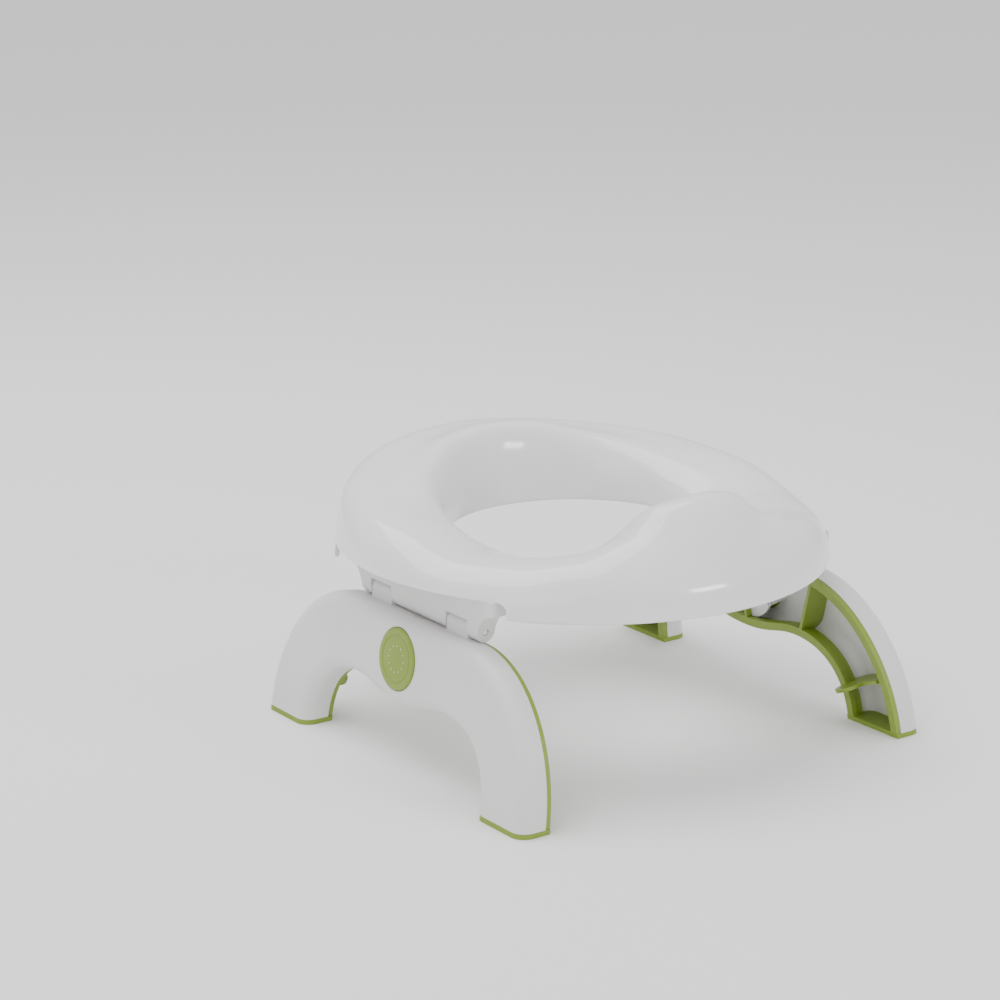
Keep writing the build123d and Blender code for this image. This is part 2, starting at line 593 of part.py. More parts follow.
def main():
    """Build every node."""
    os.makedirs("parts", exist_ok=True)
    write("seat_shell", seat_shell())
    write("seat_base", seat_base())
    write("seat_screws", seat_screws())
    write("housing_screws", housing_screws())
    for side in (LEFT, RIGHT):
        for name, build in PIECES.items():
            write(f"{side}_{name}", build(side))


if __name__ == "__main__":
    main()
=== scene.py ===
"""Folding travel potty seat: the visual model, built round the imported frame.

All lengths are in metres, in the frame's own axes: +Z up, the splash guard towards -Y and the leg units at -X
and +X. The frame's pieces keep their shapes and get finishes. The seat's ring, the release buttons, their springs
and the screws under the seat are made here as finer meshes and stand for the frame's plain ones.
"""

import json
import logging
import math
from collections.abc import Callable, Iterable, Sequence
from dataclasses import dataclass
from enum import Enum

import bmesh
import bpy
import numpy as np
from mathutils import Matrix, Vector

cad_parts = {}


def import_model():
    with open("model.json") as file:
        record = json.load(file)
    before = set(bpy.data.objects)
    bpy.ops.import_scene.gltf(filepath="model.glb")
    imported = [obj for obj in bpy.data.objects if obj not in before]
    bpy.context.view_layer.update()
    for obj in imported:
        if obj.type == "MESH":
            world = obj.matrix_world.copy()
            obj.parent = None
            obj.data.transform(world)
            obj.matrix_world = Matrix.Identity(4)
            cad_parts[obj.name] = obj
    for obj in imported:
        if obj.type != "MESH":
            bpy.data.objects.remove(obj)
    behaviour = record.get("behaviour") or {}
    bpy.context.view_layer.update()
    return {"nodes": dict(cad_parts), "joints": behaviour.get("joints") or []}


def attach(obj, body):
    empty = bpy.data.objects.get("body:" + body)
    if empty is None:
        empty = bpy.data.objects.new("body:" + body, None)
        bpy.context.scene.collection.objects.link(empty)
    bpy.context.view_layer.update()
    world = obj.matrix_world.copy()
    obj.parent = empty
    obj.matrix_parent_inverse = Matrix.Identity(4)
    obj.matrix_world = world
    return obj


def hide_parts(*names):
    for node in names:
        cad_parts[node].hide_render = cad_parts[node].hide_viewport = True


MM = 0.001
LOG = logging.getLogger("potty_seat")
WELD_DISTANCE = 0.001 * MM
FLOOR_HALF_WIDTH = 12.0
FLOOR_ROUGHNESS = 0.9
CAMERA_TARGET = (0, -6 * MM, 88 * MM)

Colour = tuple[float, float, float, float]
WHITE: Colour = (1, 1, 1, 1)
FLOOR_COLOUR: Colour = (0.9, 0.9, 0.9, 1)


class Side(Enum):
    """The two leg units, by the side of the seat that they hang on."""

    LEFT = "left"
    RIGHT = "right"


class Part(Enum):
    """The frame's pieces of one leg unit, without their side."""

    SHELL = "leg_shell"
    FRAME = "leg_frame"
    FRONT_PAD = "front_foot_pad"
    REAR_PAD = "rear_foot_pad"
    GUIDE = "button_guide"
    BOLT = "lock_bolt"
    HOUSING = "hinge_housing"
    PIN = "hinge_pin"


# ------------------------------------------------------------------ node trees
def add_sockets(tree: bpy.types.NodeTree, way: str, sockets: dict[str, tuple[str, object]]) -> None:
    """Give a node group its named inputs or outputs.

    Args:
        tree: the group that gets them.
        way: "INPUT" or "OUTPUT".
        sockets: socket type and default value by name; None leaves the default alone.
    """
    for name, (kind, value) in sockets.items():
        item = tree.interface.new_socket(name=name, in_out=way, socket_type=kind)
        if value is not None:
            item.default_value = value


def noise(tree: bpy.types.NodeTree, vector: bpy.types.NodeSocket, scale: float, detail: float) -> bpy.types.Node:
    """Add a noise texture to a tree.

    Args:
        tree: the tree that it goes in.
        vector: the coordinates that it reads.
        scale: its features per metre.
        detail: its octaves.

    Returns:
        The noise node.
    """
    node = tree.nodes.new("ShaderNodeTexNoise")
    node.inputs["Scale"].default_value = scale
    node.inputs["Detail"].default_value = detail
    tree.links.new(vector, node.inputs["Vector"])
    return node


def moulded_skin_group() -> bpy.types.NodeTree:
    """Make the moulded plastic's effect: uneven colour, uneven gloss and the mould's fine grain.

    Returns:
        A group that puts out Colour, Roughness and Normal.
    """
    tree = bpy.data.node_groups.new("moulded_skin", "ShaderNodeTree")
    add_sockets(tree, "INPUT", {
        "Vector": ("NodeSocketVector", None),
        "Colour": ("NodeSocketColor", None),
        "Shade": ("NodeSocketColor", None),
        "Smoothest": ("NodeSocketFloat", 0.2),
        "Roughest": ("NodeSocketFloat", 0.3),
        "Grain Size": ("NodeSocketFloat", 2500.0),
        "Grain Strength": ("NodeSocketFloat", 0.05),
        "Flow Strength": ("NodeSocketFloat", 0.02),
    })
    add_sockets(tree, "OUTPUT", {
        "Colour": ("NodeSocketColor", None),
        "Roughness": ("NodeSocketFloat", None),
        "Normal": ("NodeSocketVector", None),
    })
    ins, outs = tree.nodes.new("NodeGroupInput"), tree.nodes.new("NodeGroupOutput")
    link = tree.links.new
    clouds = noise(tree, ins.outputs["Vector"], 14.0, 3.0)
    handling = noise(tree, ins.outputs["Vector"], 60.0, 5.0)
    flow = noise(tree, ins.outputs["Vector"], 9.0, 1.0)
    grain = noise(tree, ins.outputs["Vector"], 2500.0, 2.0)
    link(ins.outputs["Grain Size"], grain.inputs["Scale"])

    mix = tree.nodes.new("ShaderNodeMix")
    mix.data_type = "RGBA"
    spread = tree.nodes.new("ShaderNodeMapRange")
    spread.inputs["From Min"].default_value = 0.35
    spread.inputs["From Max"].default_value = 0.65
    link(clouds.outputs["Fac"], spread.inputs["Value"])
    link(spread.outputs["Result"], mix.inputs["Factor"])
    link(ins.outputs["Colour"], mix.inputs["A"])
    link(ins.outputs["Shade"], mix.inputs["B"])
    link(mix.outputs["Result"], outs.inputs["Colour"])

    gloss = tree.nodes.new("ShaderNodeMapRange")
    gloss.inputs["From Min"].default_value = 0.3
    gloss.inputs["From Max"].default_value = 0.7
    link(handling.outputs["Fac"], gloss.inputs["Value"])
    link(ins.outputs["Smoothest"], gloss.inputs["To Min"])
    link(ins.outputs["Roughest"], gloss.inputs["To Max"])
    link(gloss.outputs["Result"], outs.inputs["Roughness"])

    broad, fine = tree.nodes.new("ShaderNodeBump"), tree.nodes.new("ShaderNodeBump")
    broad.inputs["Distance"].default_value = 0.5 * MM
    fine.inputs["Distance"].default_value = 0.04 * MM
    link(ins.outputs["Flow Strength"], broad.inputs["Strength"])
    link(ins.outputs["Grain Strength"], fine.inputs["Strength"])
    link(flow.outputs["Fac"], broad.inputs["Height"])
    link(grain.outputs["Fac"], fine.inputs["Height"])
    link(broad.outputs["Normal"], fine.inputs["Normal"])
    link(fine.outputs["Normal"], outs.inputs["Normal"])
    return tree


def fine_scratches_group() -> bpy.types.NodeTree:
    """Make the effect of fine lines drawn or rubbed along Y.

    Returns:
        A group that puts out Roughness and Normal.
    """
    tree = bpy.data.node_groups.new("fine_scratches", "ShaderNodeTree")
    add_sockets(tree, "INPUT", {
        "Vector": ("NodeSocketVector", None),
        "Smoothest": ("NodeSocketFloat", 0.2),
        "Roughest": ("NodeSocketFloat", 0.4),
        "Strength": ("NodeSocketFloat", 0.1),
    })
    add_sockets(tree, "OUTPUT", {
        "Roughness": ("NodeSocketFloat", None),
        "Normal": ("NodeSocketVector", None),
    })
    ins, outs = tree.nodes.new("NodeGroupInput"), tree.nodes.new("NodeGroupOutput")
    link = tree.links.new
    stretch = tree.nodes.new("ShaderNodeMapping")
    stretch.inputs["Scale"].default_value = (1.0, 0.04, 1.0)
    link(ins.outputs["Vector"], stretch.inputs["Vector"])
    lines = noise(tree, stretch.outputs["Vector"], 3500.0, 3.0)
    gloss = tree.nodes.new("ShaderNodeMapRange")
    link(lines.outputs["Fac"], gloss.inputs["Value"])
    link(ins.outputs["Smoothest"], gloss.inputs["To Min"])
    link(ins.outputs["Roughest"], gloss.inputs["To Max"])
    link(gloss.outputs["Result"], outs.inputs["Roughness"])
    bump = tree.nodes.new("ShaderNodeBump")
    bump.inputs["Distance"].default_value = 0.02 * MM
    link(ins.outputs["Strength"], bump.inputs["Strength"])
    link(lines.outputs["Fac"], bump.inputs["Height"])
    link(bump.outputs["Normal"], outs.inputs["Normal"])
    return tree


# ------------------------------------------------------------------ finishes
@dataclass(frozen=True)
class PlasticFinish:
    """A moulded plastic or soft rubber."""

    name: str
    colour: Colour
    shade: Colour
    roughness: tuple[float, float]
    grain_size: float = 2500.0
    grain_strength: float = 0.05
    flow_strength: float = 0.02
    coat: float = 0.0
    scatter: float = 0.0

    def material(self, skin: bpy.types.NodeTree) -> bpy.types.Material:
        """Build the finish.

        Args:
            skin: the moulded skin's group.

        Returns:
            The material.
        """
        made, shader, coordinates = plain_material(self.name)
        tree = made.node_tree
        group = tree.nodes.new("ShaderNodeGroup")
        group.node_tree = skin
        group.inputs["Colour"].default_value = self.colour
        group.inputs["Shade"].default_value = self.shade
        group.inputs["Smoothest"].default_value = self.roughness[0]
        group.inputs["Roughest"].default_value = self.roughness[1]
        group.inputs["Grain Size"].default_value = self.grain_size
        group.inputs["Grain Strength"].default_value = self.grain_strength
        group.inputs["Flow Strength"].default_value = self.flow_strength
        tree.links.new(coordinates, group.inputs["Vector"])
        tree.links.new(group.outputs["Colour"], shader.inputs["Base Color"])
        tree.links.new(group.outputs["Roughness"], shader.inputs["Roughness"])
        tree.links.new(group.outputs["Normal"], shader.inputs["Normal"])
        shader.inputs["IOR"].default_value = 1.49
        shader.inputs["Coat Weight"].default_value = self.coat
        shader.inputs["Coat Roughness"].default_value = 0.06
        shader.inputs["Subsurface Weight"].default_value = self.scatter
        shader.inputs["Subsurface Radius"].default_value = (1.0, 0.95, 0.9)
        shader.inputs["Subsurface Scale"].default_value = 2 * MM
        return made


@dataclass(frozen=True)
class SteelFinish:
    """A drawn or machined steel."""

    name: str
    colour: Colour
    roughness: tuple[float, float]
    line_strength: float

    def material(self, scratches: bpy.types.NodeTree) -> bpy.types.Material:
        """Build the finish.

        Args:
            scratches: the fine scratches' group.

        Returns:
            The material.
        """
        made, shader, coordinates = plain_material(self.name)
        tree = made.node_tree
        group = tree.nodes.new("ShaderNodeGroup")
        group.node_tree = scratches
        group.inputs["Smoothest"].default_value = self.roughness[0]
        group.inputs["Roughest"].default_value = self.roughness[1]
        group.inputs["Strength"].default_value = self.line_strength
        tree.links.new(coordinates, group.inputs["Vector"])
        tree.links.new(group.outputs["Roughness"], shader.inputs["Roughness"])
        tree.links.new(group.outputs["Normal"], shader.inputs["Normal"])
        shader.inputs["Base Color"].default_value = self.colour
        shader.inputs["Metallic"].default_value = 1.0
        return made


def plain_material(name: str) -> tuple[bpy.types.Material, bpy.types.Node, bpy.types.NodeSocket]:
    """Start a material with its shader and the coordinates that it reads.

    Args:
        name: the material's name.

    Returns:
        The material, its Principled shader and its Object coordinates.
    """
    made = bpy.data.materials.new(name)
    made.use_nodes = True
    coordinates = made.node_tree.nodes.new("ShaderNodeTexCoord")
    return made, made.node_tree.nodes["Principled BSDF"], coordinates.outputs["Object"]


GLOSS_WHITE = PlasticFinish(
    "gloss_white_plastic", (0.86, 0.855, 0.86, 1), (0.82, 0.815, 0.82, 1), (0.12, 0.2),
    grain_strength=0.01, flow_strength=0.05, coat=0.4, scatter=0.1,
)
SATIN_WHITE = PlasticFinish(
    "satin_white_plastic", (0.74, 0.73, 0.725, 1), (0.69, 0.68, 0.675, 1), (0.36, 0.48),
    grain_strength=0.25, flow_strength=0.03, scatter=0.05,
)
LIME_GREEN = PlasticFinish(
    "lime_green_plastic", (0.235, 0.33, 0.035, 1), (0.2, 0.285, 0.028, 1), (0.34, 0.46),
    grain_strength=0.3, flow_strength=0.04,
)
GREEN_GRIP = PlasticFinish(
    "green_grip_rubber", (0.225, 0.32, 0.035, 1), (0.19, 0.27, 0.028, 1), (0.55, 0.7),
    grain_size=1400.0, grain_strength=0.5,
)
PALE_MARK = PlasticFinish(
    "pale_mark_plastic", (0.6, 0.68, 0.34, 1), (0.55, 0.62, 0.3, 1), (0.3, 0.4),
)
ACETAL = PlasticFinish(
    "natural_acetal", (0.66, 0.66, 0.63, 1), (0.62, 0.62, 0.59, 1), (0.25, 0.35),
)
STEEL = SteelFinish("plain_steel", (0.62, 0.62, 0.63, 1), (0.22, 0.42), 0.3)


@dataclass
class Paintbox:
    """Every material of the model, built once from its finish."""

    gloss_white: bpy.types.Material
    satin_white: bpy.types.Material
    green: bpy.types.Material
    grip: bpy.types.Material
    mark: bpy.types.Material
    acetal: bpy.types.Material
    steel: bpy.types.Material

    @classmethod
    def build(cls) -> "Paintbox":
        """Build the shared groups and then each material."""
        skin, scratches = moulded_skin_group(), fine_scratches_group()
        return cls(
            gloss_white=GLOSS_WHITE.material(skin),
            satin_white=SATIN_WHITE.material(skin),
            green=LIME_GREEN.material(skin),
            grip=GREEN_GRIP.material(skin),
            mark=PALE_MARK.material(skin),
            acetal=ACETAL.material(skin),
            steel=STEEL.material(scratches),
        )


# ------------------------------------------------------------------ mesh helpers
def new_object(name: str, points: Iterable[Sequence[float]], faces: Iterable[Sequence[int]]) -> bpy.types.Object:
    """Make a mesh object at the origin.

    Args:
        name: the piece's name.
        points: its vertices, in metres.
        faces: vertex numbers of each face.

    Returns:
        The object, linked to the scene.
    """
    mesh = bpy.data.meshes.new(name)
    mesh.from_pydata([tuple(p) for p in points], [], [tuple(f) for f in faces])
    made = bpy.data.objects.new(name, mesh)
    bpy.context.scene.collection.objects.link(made)
    return made


def face_outwards(piece: bpy.types.Object) -> None:
    """Merge a closed mesh's doubles and turn its faces outwards.

    Args:
        piece: the mesh object, changed in place.
    """
    work = bmesh.new()
    work.from_mesh(piece.data)
    bmesh.ops.remove_doubles(work, verts=work.verts, dist=WELD_DISTANCE)
    bmesh.ops.recalc_face_normals(work, faces=work.faces)
    work.to_mesh(piece.data)
    work.free()


def shade_smooth(piece: bpy.types.Object, sharp_over: float = 35.0) -> None:
    """Shade a mesh smoothly, with hard edges where it turns sharply.

    Args:
        piece: the mesh object.
        sharp_over: the angle in degrees past which an edge is hard.
    """
    mesh = piece.data
    mesh.polygons.foreach_set("use_smooth", [True] * len(mesh.polygons))
    mesh.set_sharp_from_angle(angle=math.radians(sharp_over))


def bake_modifiers(piece: bpy.types.Object) -> None:
    """Turn what a piece's modifiers make into its plain mesh, and remove them.

    Args:
        piece: the object whose modifiers are baked.
    """
    bpy.context.view_layer.update()
    evaluated = piece.evaluated_get(bpy.context.evaluated_depsgraph_get())
    mesh = bpy.data.meshes.new_from_object(evaluated)
    piece.modifiers.clear()
    piece.data = mesh


def lathe(name: str, outline: Sequence[tuple[float, float]], segments: int) -> bpy.types.Object:
    """Turn an outline that starts and ends on the axis into a closed solid round Z.

    Args:
        name: the piece's name.
        outline: radius and height of each point, in metres.
        segments: faces round the axis.

    Returns:
        The turned piece.
    """
    turns = [2 * math.pi * i / segments for i in range(segments)]
    points = [(r * math.cos(t), r * math.sin(t), z) for t in turns for r, z in outline]
    count = len(outline)
    faces = []
    for i in range(segments):
        here, after = i * count, (i + 1) % segments * count
        faces += [(here + j, after + j, after + j + 1, here + j + 1) for j in range(count - 1)]
    made = new_object(name, points, faces)
    face_outwards(made)
    return made


# ------------------------------------------------------------------ geometry trees
class GeometryTree:
    """A Geometry Nodes tree with named inputs that ends in Realize Instances and Set Material."""

    def __init__(self, name: str, sizes: dict[str, tuple[str, object]], start_mesh: bool = False) -> None:
        """Make the tree's frame.

        Args:
            name: the tree's name.
            sizes: socket type and default of each input, by name.
            start_mesh: True if the tree reads the object's own mesh.
        """
        self.tree = bpy.data.node_groups.new(name, "GeometryNodeTree")
        if start_mesh:
            add_sockets(self.tree, "INPUT", {"Geometry": ("NodeSocketGeometry", None)})
        add_sockets(self.tree, "INPUT", sizes)
        add_sockets(self.tree, "INPUT", {"Material": ("NodeSocketMaterial", None)})
        add_sockets(self.tree, "OUTPUT", {"Geometry": ("NodeSocketGeometry", None)})
        self.ins = self.tree.nodes.new("NodeGroupInput")
        self.outs = self.tree.nodes.new("NodeGroupOutput")

    def node(self, kind: str, **inputs: object) -> bpy.types.Node:
        """Add a node and fill its inputs.

        Args:
            kind: the node's type.
            inputs: a socket to link, or a value, by the input's name with underscores for spaces.

        Returns:
            The node.
        """
        made = self.tree.nodes.new(kind)
        for name, value in inputs.items():
            target = made.inputs[name.replace("_", " ")]
            if isinstance(value, bpy.types.NodeSocket):
                self.tree.links.new(value, target)
            else:
                target.default_value = value
        return made

    def size(self, name: str) -> bpy.types.NodeSocket:
        """Find the socket of one named input.

        Args:
            name: the input's name.

        Returns:
            Its socket on the tree's input node.
        """
        return self.ins.outputs[name]

    def times(self, value: bpy.types.NodeSocket, factor: float) -> bpy.types.NodeSocket:
        """Multiply a size by a number.

        Args:
            value: the socket that gives the size.
            factor: the number.

        Returns:
            The product's socket.
        """
        made = self.node("ShaderNodeMath")
        made.operation = "MULTIPLY"
        self.tree.links.new(value, made.inputs[0])
        made.inputs[1].default_value = factor
        return made.outputs[0]

    def xyz(self, x: object = 0.0, y: object = 0.0, z: object = 0.0) -> bpy.types.NodeSocket:
        """Make a vector from three sizes or numbers.

        Args:
            x: a socket or a number.
            y: a socket or a number.
            z: a socket or a number.

        Returns:
            The vector's socket.
        """
        return self.node("ShaderNodeCombineXYZ", X=x, Y=y, Z=z).outputs[0]

    def end(self, geometry: bpy.types.NodeSocket) -> bpy.types.NodeTree:
        """Close the tree.

        Args:
            geometry: what the tree has made.

        Returns:
            The finished tree.
        """
        real = self.node("GeometryNodeRealizeInstances", Geometry=geometry)
        dressed = self.node("GeometryNodeSetMaterial", Geometry=real.outputs[0], Material=self.size("Material"))
        self.tree.links.new(dressed.outputs[0], self.outs.inputs["Geometry"])
        return self.tree


def mark_ring_tree() -> bpy.types.NodeTree:
    """Make the tree that sets low domes in a ring."""
    maker = GeometryTree("mark_ring", {
        "Count": ("NodeSocketInt", 12),
        "Ring Radius": ("NodeSocketFloat", 8 * MM),
        "Mark Radius": ("NodeSocketFloat", 0.5 * MM),
        "Mark Height": ("NodeSocketFloat", 0.2 * MM),
    })
    ring = maker.node("GeometryNodeMeshCircle", Vertices=maker.size("Count"), Radius=maker.size("Ring Radius"))
    dome = maker.node("GeometryNodeMeshUVSphere", Segments=12, Rings=8, Radius=1.0)
    shape = maker.xyz(maker.size("Mark Radius"), maker.size("Mark Radius"), maker.size("Mark Height"))
    placed = maker.node(
        "GeometryNodeInstanceOnPoints", Points=ring.outputs[0], Instance=dome.outputs[0], Scale=shape
    )
    return maker.end(placed.outputs[0])


def coil_tree() -> bpy.types.NodeTree:
    """Make the tree that winds a compression spring up Z."""
    maker = GeometryTree("coil", {
        "Radius": ("NodeSocketFloat", 7 * MM),
        "Height": ("NodeSocketFloat", 12 * MM),
        "Turns": ("NodeSocketFloat", 5.5),
        "Wire Radius": ("NodeSocketFloat", 0.45 * MM),
    })
    path = maker.node(
        "GeometryNodeCurveSpiral", Resolution=40, Rotations=maker.size("Turns"),
        Start_Radius=maker.size("Radius"), End_Radius=maker.size("Radius"), Height=maker.size("Height"),
    )
    section = maker.node("GeometryNodeCurvePrimitiveCircle", Resolution=12, Radius=maker.size("Wire Radius"))
    wire = maker.node(
        "GeometryNodeCurveToMesh", Curve=path.outputs[0], Profile_Curve=section.outputs[0], Fill_Caps=True
    )
    return maker.end(wire.outputs[0])


def screw_tree() -> bpy.types.NodeTree:
    """Make the tree that puts a dome-headed cross-slot screw on each point, its head below and shank up Z."""
    maker = GeometryTree("screws", {
        "Head Radius": ("NodeSocketFloat", 3.4 * MM),
        "Head Height": ("NodeSocketFloat", 1.8 * MM),
        "Shank Radius": ("NodeSocketFloat", 1.5 * MM),
        "Length": ("NodeSocketFloat", 10 * MM),
    }, start_mesh=True)
    radius, height = maker.size("Head Radius"), maker.size("Head Height")
    ball = maker.node("GeometryNodeMeshUVSphere", Segments=32, Rings=16, Radius=1.0)
    dome = maker.node("GeometryNodeTransform", Geometry=ball.outputs[0], Scale=maker.xyz(radius, radius, height))
    wide = maker.times(radius, 3.0)
    block = maker.node("GeometryNodeMeshCube", Size=maker.xyz(wide, wide, wide))
    upper = maker.node(
        "GeometryNodeTransform", Geometry=block.outputs[0], Translation=maker.xyz(z=maker.times(radius, 1.5))
    )
    slots = []
    for across, along in ((1.1, 0.2), (0.2, 1.1)):
        bar = maker.node("GeometryNodeMeshCube", Size=maker.xyz(
            maker.times(radius, across), maker.times(radius, along), maker.times(height, 1.2)
        ))
        slots.append(maker.node(
            "GeometryNodeTransform", Geometry=bar.outputs[0], Translation=maker.xyz(z=maker.times(height, -1.0))
        ))
    head = maker.node("GeometryNodeMeshBoolean")
    head.operation = "DIFFERENCE"
    maker.tree.links.new(dome.outputs[0], head.inputs["Mesh 1"])
    for cutter in (upper, *slots):
        maker.tree.links.new(cutter.outputs[0], head.inputs["Mesh 2"])
    rod = maker.node(
        "GeometryNodeMeshCylinder", Vertices=20, Radius=maker.size("Shank Radius"), Depth=maker.size("Length")
    )
    shank = maker.node(
        "GeometryNodeTransform", Geometry=rod.outputs[0],
        Translation=maker.xyz(z=maker.times(maker.size("Length"), 0.5)),
    )
    both = maker.node("GeometryNodeJoinGeometry")
    maker.tree.links.new(head.outputs[0], both.inputs[0])
    maker.tree.links.new(shank.outputs[0], both.inputs[0])
    placed = maker.node("GeometryNodeInstanceOnPoints", Points=maker.size("Geometry"), Instance=both.outputs[0])
    return maker.end(placed.outputs[0])


def grow(piece: bpy.types.Object, tree: bpy.types.NodeTree, **values: object) -> None:
    """Run a geometry tree on a piece and keep the result as its plain mesh.

    Args:
        piece: the object that starts the tree.
        tree: the tree.
        values: each named input, with underscores for spaces.
    """
    modifier = piece.modifiers.new("grow", "NODES")
    modifier.node_group = tree
    identifiers = {i.name: i.identifier for i in tree.interface.items_tree if i.in_out == "INPUT"}
    for name, value in values.items():
        modifier[identifiers[name.replace("_", " ")]] = value
    bake_modifiers(piece)


# ------------------------------------------------------------------ the seat
@dataclass
class Seat:
    """The gloss white ring with its splash guard, and what closes it from below."""

    paint: Paintbox
    half_x: float = 151 * MM
    half_y: float = 158 * MM
    skirt_bottom: float = 110 * MM
    wall: float = 3 * MM
    opening: float = 79 * MM
    opening_y: float = 7 * MM
    opening_edge: float = 118 * MM
    shoulder_inset: float = 9 * MM
    notch_bottom_x: float = 114.8 * MM
    notch_centre_y: float = -9.5 * MM
    notch_half: float = 84 * MM
    notch_top: float = 120 * MM
    notch_fillet: float = 6 * MM
    directions: int = 420
    samples: int = 58
    edge_steps: int = 6
    # angle from the front, lip's reach past the opening, and heights of lip, brim and shoulder
    rim_keys: tuple[tuple[float, ...], ...] = (
        (0, 52, 171, 162, 137),
        (12, 49, 167, 158, 137),
        (24, 36, 147, 151, 138),
        (36, 18, 130, 140, 136),
        (50, 12, 128, 136, 131),
        (65, 12, 130, 136, 131),
        (90, 12, 139, 146, 140),
        (120, 12, 151, 153, 149),
        (145, 12, 160, 159, 154),
        (160, 12, 166, 163, 157),
        (180, 13, 168, 165, 159),
    )

    def rim_value(self, angle: float, column: int) -> float:
        """One column of the rim keys at an angle from the front.

        Args:
            angle: degrees from the front.
            column: the column of rim_keys.

        Returns:
            The value on a smooth curve through the keys, in metres.
        """
        angle = abs((angle + 180.0) % 360.0 - 180.0)
        keys = [(k[0], k[column] * MM) for k in self.rim_keys]
        keys = [(-keys[1][0], keys[1][1]), *keys, (360.0 - keys[-2][0], keys[-2][1])]
        index = max(i for i in range(1, len(keys) - 2) if keys[i][0] <= angle)

        def slope(i: int) -> float:
            """Find the curve's slope at one key.

            Args:
                i: the key's place in the list.

            Returns:
                The slope, in metres per degree, and zero at a peak or a dip.
            """
            rise_in = (keys[i][1] - keys[i - 1][1]) / (keys[i][0] - keys[i - 1][0])
            rise_out = (keys[i + 1][1] - keys[i][1]) / (keys[i + 1][0] - keys[i][0])
            return 0.0 if rise_in * rise_out <= 0 else 2 * rise_in * rise_out / (rise_in + rise_out)

        (start, low), (end, high) = keys[index], keys[index + 1]
        span = end - start
        t = (angle - start) / span
        return (
            low * (1 + 2 * t) * (1 - t) ** 2
            + slope(index) * span * t * (1 - t) ** 2
            + high * t * t * (3 - 2 * t)
            + slope(index + 1) * span * t * t * (t - 1)
        )

    def skirt_radius(self, turn: float) -> float:
        """Find the distance from the opening's centre to the skirt's bottom edge.

        Args:
            turn: the direction round the opening, in radians.

        Returns:
            The distance, in metres.
        """
        c, s = math.cos(turn), math.sin(turn)
        a = (c / self.half_x) ** 2 + (s / self.half_y) ** 2
        b = 2 * self.opening_y * s / self.half_y**2
        k = (self.opening_y / self.half_y) ** 2 - 1
        return (-b + math.sqrt(b * b - 4 * a * k)) / (2 * a)

    def profile_points(self, turn: float) -> np.ndarray:
        """The ring's outer surface in one section.

        Args:
            turn: the section's direction from +X, in radians.

        Returns:
            Distance from the opening's centre and height of each point.
        """
        reach, lip_z, brim_z, shoulder_z = (self.rim_value(math.degrees(turn) + 90, c) for c in range(1, 5))
        skirt = self.skirt_radius(turn)
        lip, shoulder, rise = self.opening + reach, skirt - self.shoulder_inset, lip_z - self.opening_edge
        return np.array([
            (self.opening, self.opening_edge),
            (self.opening + 0.12 * reach, self.opening_edge + 0.38 * rise),
            (self.opening + 0.45 * reach, self.opening_edge + 0.78 * rise),
            (lip, lip_z),
            (lip + 0.4 * (shoulder - lip), brim_z),
            (shoulder, shoulder_z),
            (skirt - 2 * MM, shoulder_z - 0.45 * (shoulder_z - self.skirt_bottom)),
            (skirt, self.skirt_bottom),
        ])

    def section(self, turn: float) -> np.ndarray:
        """The wall's closed section, with rounded edges at the opening and the skirt.

        Args:
            turn: the section's direction from +X, in radians.

        Returns:
            Distance from the opening's centre and height of each point round the wall.
        """
        curve = smooth_curve(self.profile_points(turn), 400)
        steps = np.r_[0, np.cumsum(np.linalg.norm(np.diff(curve, axis=0), axis=1))]
        places = np.linspace(self.wall / 2, steps[-1] - self.wall / 2, self.samples)
        outer = np.stack([np.interp(places, steps, curve[:, i]) for i in (0, 1)], -1)
        along = np.gradient(outer, axis=0)
        along /= np.linalg.norm(along, axis=1)[:, None]
        inner = outer + self.wall * np.stack([along[:, 1], -along[:, 0]], -1)
        turns = np.linspace(0, math.pi, self.edge_steps + 2)[1:-1]

        def rounding(start: np.ndarray, end: np.ndarray, outward: np.ndarray) -> np.ndarray:
            """Make a half circle from one skin to the other.

            Args:
                start: the point it leaves.
                end: the point it reaches.
                outward: the direction it bulges in.

            Returns:
                The points between the two ends.
            """
            middle, half = (start + end) / 2, (start - end) / 2
            reach = outward * self.wall / 2
            return np.array([middle + half * math.cos(t) + reach * math.sin(t) for t in turns])

        return np.concatenate([
            outer, rounding(outer[-1], inner[-1], along[-1]), inner[::-1], rounding(inner[0], outer[0], -along[0])
        ])

    def ring(self) -> bpy.types.Object:
        """Build the ring with its hinge notches.

        Returns:
            The ring's mesh object.
        """
        turns = [2 * math.pi * (i + 0.5) / self.directions for i in range(self.directions)]
        sections = [self.section(t) for t in turns]
        count = len(sections[0])
        points = [
            (r * math.cos(t), self.opening_y + r * math.sin(t), z)
            for t, section in zip(turns, sections) for r, z in section
        ]
        faces = []
        for i in range(self.directions):
            here, after = i * count, (i + 1) % self.directions * count
            for j in range(count):
                k = (j + 1) % count
                faces.append((here + j, after + j, after + k, here + k))
        ring = new_object("seat_ring", points, faces)
        face_outwards(ring)
        for sign in (-1, 1):
            cutter = self.notch_cutter(sign)
            cut = ring.modifiers.new("notch", "BOOLEAN")
            cut.operation, cut.solver, cut.object = "DIFFERENCE", "EXACT", cutter
            bake_modifiers(ring)
            bpy.data.objects.remove(cutter)
        shade_smooth(ring, 40.0)
        ring.data.materials.clear()
        ring.data.materials.append(self.paint.gloss_white)
        return ring

